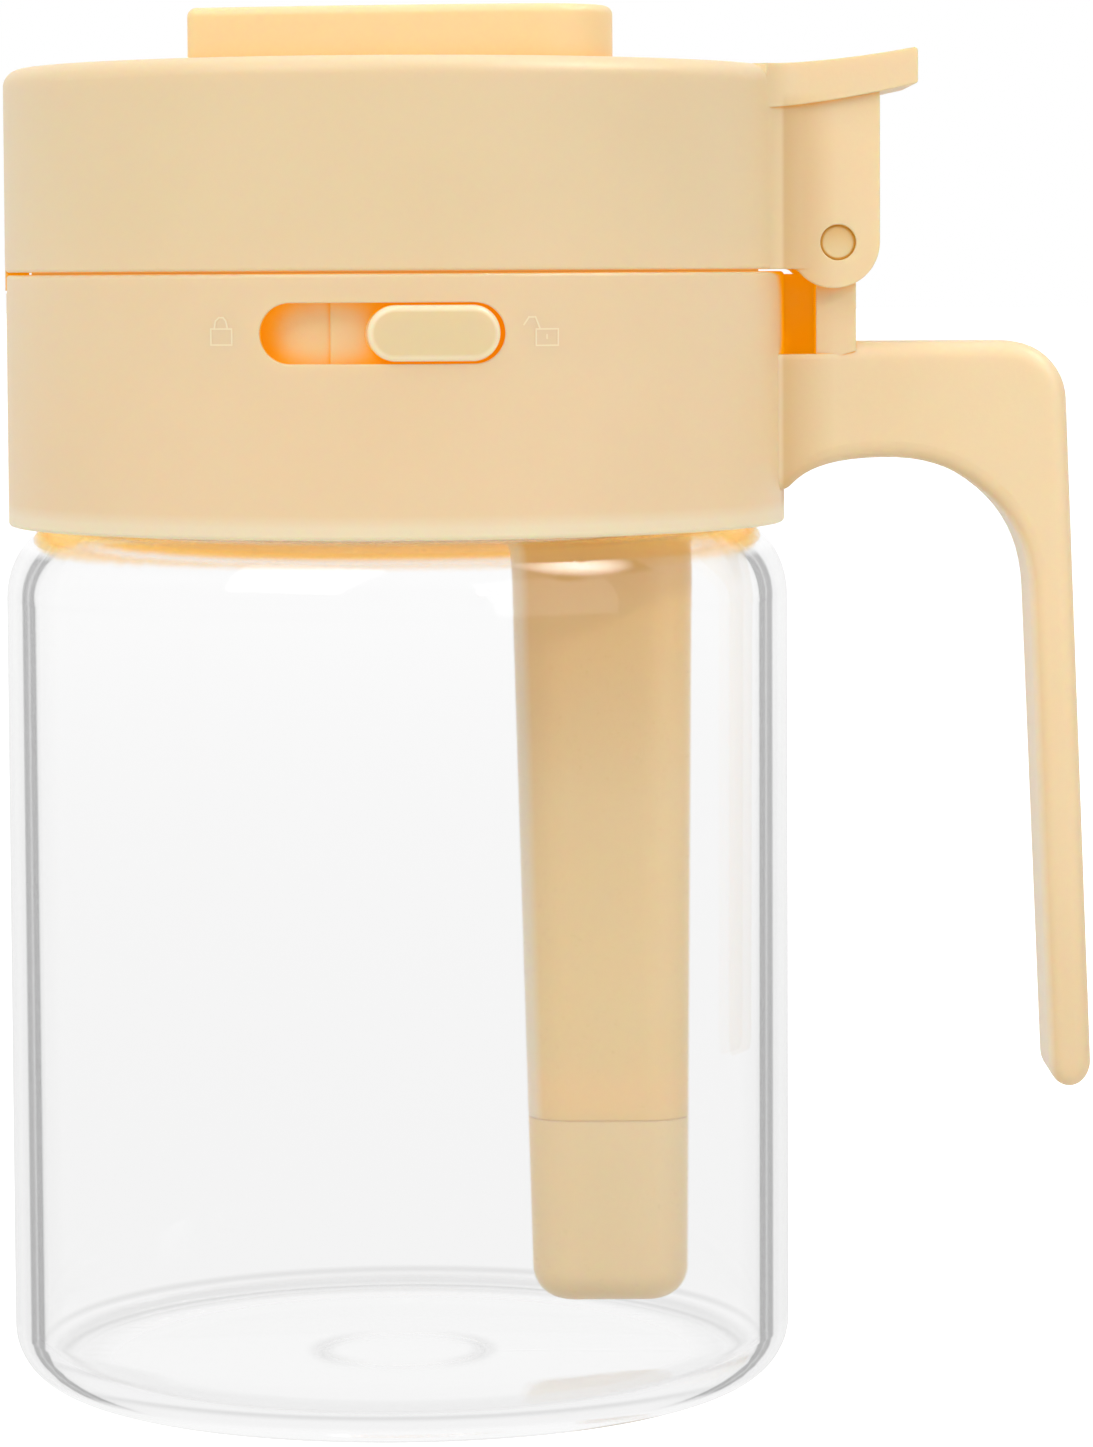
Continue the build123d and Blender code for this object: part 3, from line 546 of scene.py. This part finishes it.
def slope_grey(tree):
    """Painted grey by the slope to the eye, standing in for dark surroundings refracted in the steep
    sides. A face takes the root of its colour, so levels are squared.
    """
    slope = tree.nodes.new("ShaderNodeLayerWeight")
    slope.inputs["Blend"].default_value = 0.5
    ramp = tree.nodes.new("ShaderNodeValToRGB")
    stops = ramp.color_ramp.elements
    for stop, (place, level) in zip(stops, (GLASS_SLOPES[0], GLASS_SLOPES[-1])):
        stop.position = place
        stop.color = even_grey(level ** 2)
    for place, level in GLASS_SLOPES[1:-1]:
        stops.new(place).color = even_grey(level ** 2)
    tree.links.new(slope.outputs["Facing"], ramp.inputs[0])
    return ramp.outputs[0]


def heel_grey(tree):
    """Painted grey, standing in for light bent by the thick glass, in the inner corner of the floor,
    at the mould mark and at the foot.
    """
    height = place_axis(tree, "Z")
    reach = jar_reach(tree)
    outer = span(tree, reach, *HEEL_START)
    corner = product(tree, outer, band(tree, height, *CORNER_BAND))
    colour = mixed(tree, corner, WHITE, even_grey(CORNER_GREY))
    side = combine(tree, "ABSOLUTE", place_axis(tree, "X"))
    curls = span(tree, side, *CURL_SIDES, CURL_LEAST, 1.0)
    low = fall(tree, height, *MOULD_TOP)
    mould = product(tree, band(tree, reach, *MOULD_RING), product(tree, low, curls))
    colour = mixed(tree, mould, colour, even_grey(MOULD_GREY))
    foot = product(tree, outer, band(tree, height, *FOOT_BAND))
    return mixed(tree, foot, colour, even_grey(FOOT_GREY))


def outer_front(tree):
    """1 on the outside of the jar's wall where a ray enters the glass, otherwise 0."""
    shape = tree.nodes.new("ShaderNodeNewGeometry")
    front = fall(tree, shape.outputs["Backfacing"], 0.0, 1.0)
    return product(tree, span(tree, jar_reach(tree), *OUTER_WALL), front)


def straight_on(tree):
    """1 for rays that pass the glass unbent: shadow, diffuse and late ones."""
    path = tree.nodes.new("ShaderNodeLightPath")
    late = span(tree, path.outputs["Ray Depth"], GLASS_DEPTH, GLASS_DEPTH + 1)
    return combine(tree, "MAXIMUM", any_ray(tree, "Is Shadow Ray", "Is Diffuse Ray"), late)


def glass(name):
    """Clear moulded glass with painted grey bands on its steep sides and painted grey in its floor.
    """
    material, tree, output = new_material(name)
    shader = tree.nodes.new("ShaderNodeBsdfPrincipled")
    shader.inputs["Transmission Weight"].default_value = 1.0
    shader.inputs["IOR"].default_value = GLASS_IOR
    shader.inputs["Roughness"].default_value = 0.0
    front = outer_front(tree)
    body = mixed(tree, front, heel_grey(tree), slope_grey(tree))
    tree.links.new(body, shader.inputs["Base Color"])
    tree.links.new(mixed(tree, front, BLACK, WHITE), shader.inputs["Specular Tint"])
    tree.links.new(softened(tree, GLASS_SOFTNESS), shader.inputs["Normal"])
    clear = tree.nodes.new("ShaderNodeBsdfTransparent")
    clear.inputs["Color"].default_value = even_grey(CLEAR_LEVEL)
    surface = mixed_shaders(tree, straight_on(tree), shader.outputs[0], clear.outputs[0])
    tree.links.new(surface, output.inputs["Surface"])
    return material


clear_glass = glass("clear_glass")


# Which node has which finish
finishes = {
    "glass_jar": clear_glass, "mouth_gasket": seal, "thread_ring": ring, "collar": shell,
    "inner_plate": inner, "sifter_disc": inner, "storage_tube": tube, "tube_end_cup": cup,
    "spoon": spoon, "lid_shell": shell, "lid_liner": inner, "lid_seal": seal,
    "latch_hook": inner, "hinge_pin": pin, "lock_plate": plate, "lock_knob": knob,
    "top_block": block,
}
for name, material in finishes.items():
    mesh = nodes[name].data
    mesh.materials.clear()
    mesh.materials.append(material)


# Lock marks: two generic padlock signs, moulded a hair proud of the collar. Their strokes run
# through places in millimetres: arc length on the collar from -Y towards +X, and height
MARK_WIDTH = 0.15 * MM
MARK_PROUD = 0.03 * MM
MARK_CLOSED = [
    [(-17.27, 108.44), (-15.04, 108.44), (-15.04, 106.91), (-17.27, 106.91), (-17.27, 108.44)],
    [(-16.9, 108.5), (-16.75, 109.2), (-16.4, 109.52), (-15.95, 109.52), (-15.65, 109.2),
     (-15.5, 108.5)],
]
MARK_OPEN = [
    [(14.74, 108.3), (17.04, 108.3), (17.04, 106.73), (14.74, 106.73), (14.74, 108.3)],
    [(13.52, 108.73), (14.03, 109.45), (14.69, 109.45), (15.13, 108.4)],
    [(15.87, 107.75), (15.87, 107.4)],
]


def wall_point(place, proud):
    """A point on the collar from its arc length and its height."""
    turn = place.x / WALL_RADIUS
    radius = WALL_RADIUS + proud
    return Vector((radius * math.sin(turn), -radius * math.cos(turn), place.y))


def add_stroke(form, first, last):
    """A thin raised bar on the collar between two places, with square ends."""
    run = (last - first).normalized() * MARK_WIDTH / 2
    side = Vector((-run.y, run.x))
    corners = [first - run - side, last + run - side, last + run + side, first - run + side]
    top = [form.verts.new(wall_point(corner, MARK_PROUD)) for corner in corners]
    low = [form.verts.new(wall_point(corner, -MARK_PROUD)) for corner in corners]
    form.faces.new(top)
    for i in range(len(corners)):
        after = (i + 1) % len(corners)
        form.faces.new((low[i], low[after], top[after], top[i]))
    form.faces.new(reversed(low))


def mark_lines(name, lines):
    """A sign of strokes that rides on the collar."""
    form = bmesh.new()
    for line in lines:
        places = [Vector(place) * MM for place in line]
        for first, last in zip(places, places[1:]):
            add_stroke(form, first, last)
    mesh = bpy.data.meshes.new(name)
    form.to_mesh(mesh)
    form.free()
    mesh.materials.append(mark)
    piece = add_object(name, mesh)
    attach(piece, "collar")


mark_lines("mark_closed", MARK_CLOSED)
mark_lines("mark_open", MARK_OPEN)


# Floor and surroundings
def stage_floor():
    """A pale floor that takes the jar's shadow, and looks even to glass and gloss."""
    mesh = bpy.data.meshes.new("floor")
    form = bmesh.new()
    bmesh.ops.create_grid(form, x_segments=1, y_segments=1, size=FLOOR_REACH)
    form.to_mesh(mesh)
    form.free()
    floor = add_object("floor", mesh)
    material, tree, output = new_material("floor")
    body = tree.nodes.new("ShaderNodeBsdfDiffuse")
    body.inputs["Color"].default_value = even_grey(FLOOR_ALBEDO)
    seen = any_ray(tree, "Is Camera Ray", "Is Glossy Ray", "Is Transmission Ray")
    both = tree.nodes.new("ShaderNodeAddShader")
    tree.links.new(body.outputs[0], both.inputs[0])
    tree.links.new(emission(tree, span(tree, seen, 0.0, 1.0, 0.0, FLOOR_GLOW)), both.inputs[1])
    reach = length(tree, own_place(tree))
    even = emission(tree, span(tree, reach, *FLOOR_SPAN, FLOOR_NEAR, FLOOR_FAR))
    bent = any_ray(tree, "Is Transmission Ray", "Is Glossy Ray")
    tree.links.new(mixed_shaders(tree, bent, both.outputs[0], even), output.inputs["Surface"])
    mesh.materials.append(material)


def world():
    """White where it is seen, and a soft even light on the object."""
    sky = bpy.data.worlds.new("world")
    bpy.context.scene.world = sky
    sky.use_nodes = True
    tree = sky.node_tree
    tree.nodes.clear()
    output = tree.nodes.new("ShaderNodeOutputWorld")
    back = tree.nodes.new("ShaderNodeBackground")
    back.inputs["Color"].default_value = WHITE
    seen = any_ray(tree, "Is Camera Ray", "Is Glossy Ray", "Is Transmission Ray")
    tree.links.new(span(tree, seen, 0.0, 1.0, AMBIENT_LEVEL, BACKDROP_LEVEL), back.inputs["Strength"])
    tree.links.new(back.outputs[0], output.inputs["Surface"])


# Lights: places, sizes and aims in metres, powers in watts, the beam's angle in degrees
LAMP_AIM = (0.01, 0, 0.07)
SHINE_AIM = (0, 0, 0.08)
BEAM_SOURCE = 0.05


def shine(name, place, size, level):
    """A soft-edged bright card above the jar that only gloss sees."""
    mesh = bpy.data.meshes.new(name)
    half = size / 2
    corners = [(-half, -half, 0), (half, -half, 0), (half, half, 0), (-half, half, 0)]
    mesh.from_pydata(corners, [], [(0, 1, 2, 3)])
    card = add_object(name, mesh)
    card.location = place
    card.rotation_euler = turn_to(place, SHINE_AIM, "Z")
    material, tree, output = new_material(name)
    fade = span(tree, length(tree, own_place(tree)), 0.0, half, level, 0.0)
    tree.links.new(emission(tree, fade), output.inputs["Surface"])
    mesh.materials.append(material)
    card.visible_camera = False
    card.visible_diffuse = False
    card.visible_shadow = False
    card.visible_transmission = False


def hang(name, data, place, aim):
    """A light at its place, turned to its aim."""
    light = add_object(name, data)
    light.location = place
    light.rotation_euler = turn_to(place, aim, "-Z")


def lamp(name, place, size, power):
    """A soft square lamp."""
    data = bpy.data.lights.new(name, "AREA")
    data.shape = "SQUARE"
    data.size = size
    data.energy = power
    hang(name, data, place, LAMP_AIM)


def beam(name, place, aim, angle, power):
    """A narrow soft beam."""
    data = bpy.data.lights.new(name, "SPOT")
    data.energy = power
    data.spot_size = math.radians(angle)
    data.spot_blend = 1.0
    data.shadow_soft_size = BEAM_SOURCE
    hang(name, data, place, aim)


stage_floor()
world()
shine("shine_top", place=(0.62, -0.18, 0.87), size=0.6, level=24.0)
lamp("key", place=(-0.6, -0.9, 1.1), size=0.9, power=8.1)
lamp("fill", place=(0.9, -0.8, 0.5), size=0.9, power=2.6)
lamp("top", place=(0.0, 0.15, 1.3), size=1.2, power=5.4)
beam("arm_beam", place=(0.5, -0.9, 0.6), aim=(0.061, 0, 0.095), angle=3.4, power=32.0)

bpy.context.scene.view_settings.view_transform = "Standard"
